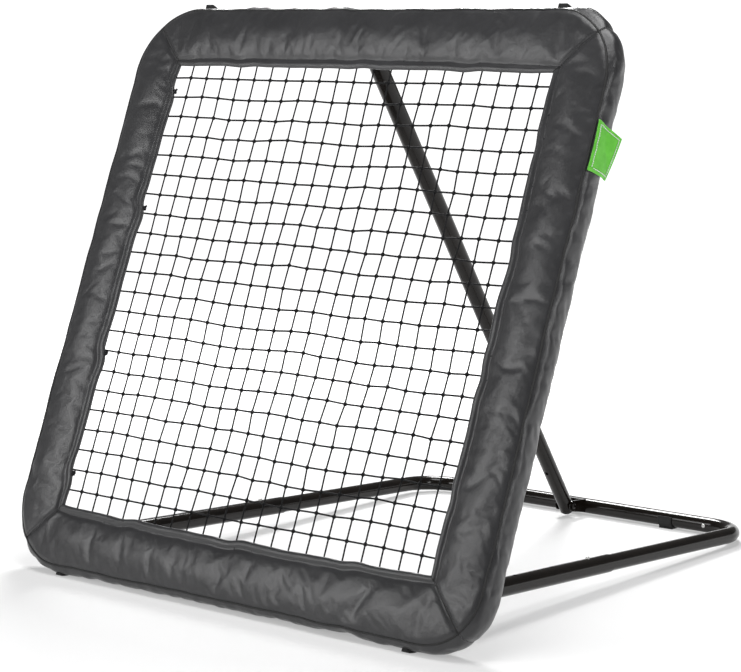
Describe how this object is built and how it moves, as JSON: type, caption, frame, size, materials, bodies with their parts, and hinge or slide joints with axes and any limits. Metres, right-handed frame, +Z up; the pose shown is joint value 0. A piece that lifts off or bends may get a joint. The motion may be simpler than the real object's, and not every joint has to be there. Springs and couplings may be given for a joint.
{
  "type": "pitch back rebounder",
  "caption": "Square net rebounder with a padded cover, leaning back on a telescoping tube base with a central prop; the base folds up",
  "frame": {"origin": "bottom centre of the bounding box, on the floor", "axes": "+Z up; the net faces -Y and leans back toward +Y; +X is to the right of someone who faces the net"},
  "size_m": [1.24, 1.2614, 1.1843],
  "materials": {
    "cover_fabric": "coated woven nylon, charcoal, low sheen",
    "net_cord": "knotted black twine",
    "elastic_cord": "braided black elastic",
    "label_green": "woven green tab",
    "tube_paint": "glossy very dark powder coat",
    "zinc_steel": "zinc plated",
    "foot_rubber": "matt",
    "black_plastic": "matt moulded"
  },
  "bodies": {
    "net_frame": {"cover_bottom": "cover_fabric", "cover_top": "cover_fabric", "cover_left": "cover_fabric", "cover_right": "cover_fabric", "label_tab": "label_green", "net": "net_cord", "net_lacing_right": "elastic_cord", "net_lacing_left": "elastic_cord", "net_lacing_bottom": "elastic_cord", "net_lacing_top": "elastic_cord", "frame_tube_bottom": "tube_paint", "frame_tube_top": "tube_paint", "frame_tube_left": "tube_paint", "frame_tube_right": "tube_paint", "frame_elbow_bottom_left": "tube_paint", "frame_elbow_bottom_right": "tube_paint", "frame_elbow_top_left": "tube_paint", "frame_elbow_top_right": "tube_paint", "foot_bottom_left": "foot_rubber", "foot_bottom_right": "foot_rubber", "foot_top_left": "foot_rubber", "foot_top_right": "foot_rubber", "leg_bracket_left": "tube_paint", "leg_bracket_right": "tube_paint", "prop_bracket": "tube_paint", "leg_bolt_left": "zinc_steel", "leg_bolt_right": "zinc_steel", "leg_nut_left": "zinc_steel", "leg_nut_right": "zinc_steel", "prop_bolt": "zinc_steel", "prop_nut": "zinc_steel"},
    "legs": {"leg_tube_left": "tube_paint", "leg_tube_right": "tube_paint", "leg_bush_left": "black_plastic", "leg_bush_right": "black_plastic"},
    "rear_frame": {"rear_corner_left": "tube_paint", "rear_corner_right": "tube_paint", "rear_cross_tube": "tube_paint", "rear_screw_left": "zinc_steel", "rear_screw_right": "zinc_steel", "rear_foot_left": "foot_rubber", "rear_foot_right": "foot_rubber", "rear_clevis": "tube_paint", "rear_stub_bolt_left": "tube_paint", "rear_stub_bolt_right": "tube_paint"},
    "left_catch": {"leg_button_left": "zinc_steel"},
    "right_catch": {"leg_button_right": "zinc_steel"},
    "prop_upper": {"prop_upper_tube": "tube_paint", "prop_bush": "black_plastic"},
    "prop_lower": {"prop_lower_tube": "tube_paint", "prop_end_plug": "black_plastic"},
    "prop_catch": {"prop_button": "zinc_steel"}
  },
  "joints": [
    {"name": "fold", "type": "hinge", "parent": "net_frame", "child": "legs", "pos_m": [0, -0.57876, 0.07398], "axis": [1, 0, 0], "range_deg": [0, 45]},
    {"name": "leg_adjust", "type": "slide", "parent": "legs", "child": "rear_frame", "axis": [0, -0.999, 0.0448], "range_m": [0, 0.25], "deforming": ["leg_button_left", "leg_button_right"]},
    {"name": "left_catch_press", "type": "slide", "parent": "rear_frame", "child": "left_catch", "axis": [0, -0.0448, -0.999], "range_m": [0, 0.0045], "stiffness_N_per_m": 1500, "springref_m": -0.002},
    {"name": "right_catch_press", "type": "slide", "parent": "rear_frame", "child": "right_catch", "axis": [0, -0.0448, -0.999], "range_m": [0, 0.0045], "stiffness_N_per_m": 1500, "springref_m": -0.002},
    {"name": "prop_swing", "type": "hinge", "parent": "net_frame", "child": "prop_upper", "pos_m": [0, -0.16946, 1.10146], "axis": [1, 0, 0], "range_deg": [-9.98, 0]},
    {"name": "prop_adjust", "type": "slide", "parent": "prop_upper", "child": "prop_lower", "axis": [0, -0.5574, 0.8302], "range_m": [0, 0.131], "deforming": ["prop_button"]},
    {"name": "prop_catch_press", "type": "slide", "parent": "prop_lower", "child": "prop_catch", "axis": [1, 0, 0], "range_m": [0, 0.0045], "stiffness_N_per_m": 1500, "springref_m": -0.002}
  ],
  "couplings": [
    {"joint": "prop_swing", "follows": "leg_adjust", "rad_per_m": -0.6965},
    {"joint": "prop_adjust", "follows": "leg_adjust", "ratio": 0.52387}
  ]
}
